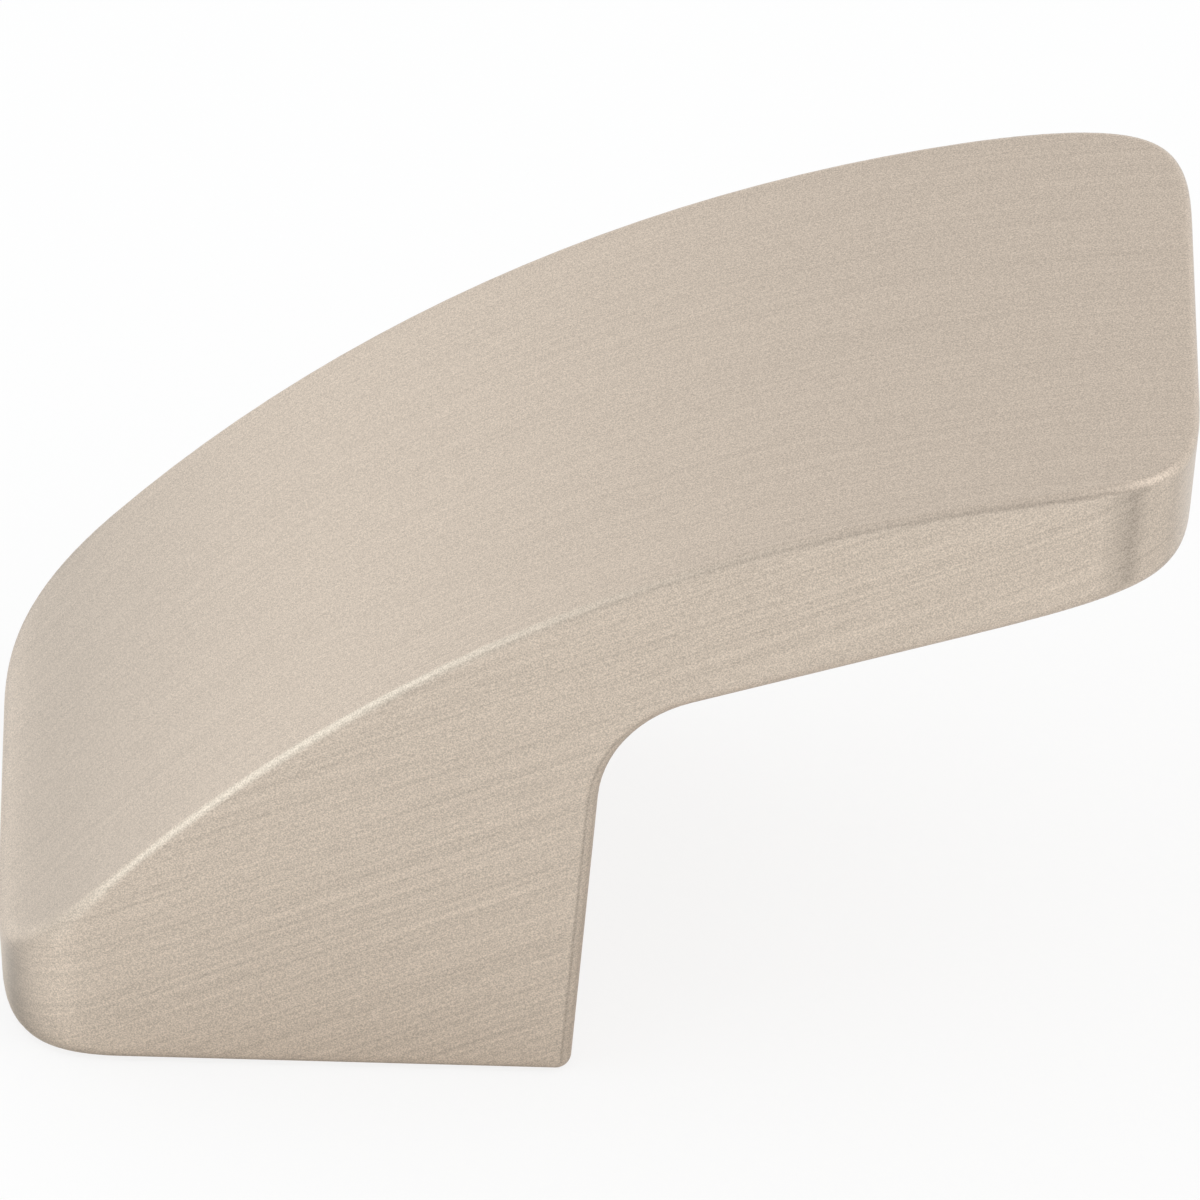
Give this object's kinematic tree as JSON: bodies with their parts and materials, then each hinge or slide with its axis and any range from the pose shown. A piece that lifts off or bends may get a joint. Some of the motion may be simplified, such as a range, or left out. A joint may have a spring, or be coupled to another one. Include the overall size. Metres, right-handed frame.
{
  "type": "cabinet knob",
  "caption": "Finger-pull cabinet knob: a solid foot that sweeps up along one arc into an overhanging grip, fixed by one screw from behind.",
  "frame": {"origin": "centre of the screw hole's mouth, on the face that meets the cabinet", "axes": "+Z out from the cabinet face, +X from the foot towards the overhanging fingertip end, Y across the width"},
  "size_m": [0.0379, 0.0216, 0.0232],
  "materials": {
    "satin_nickel": "satin nickel plate, brushed lengthwise"
  },
  "bodies": {
    "root": {"knob": "satin_nickel"}
  },
  "joints": []
}
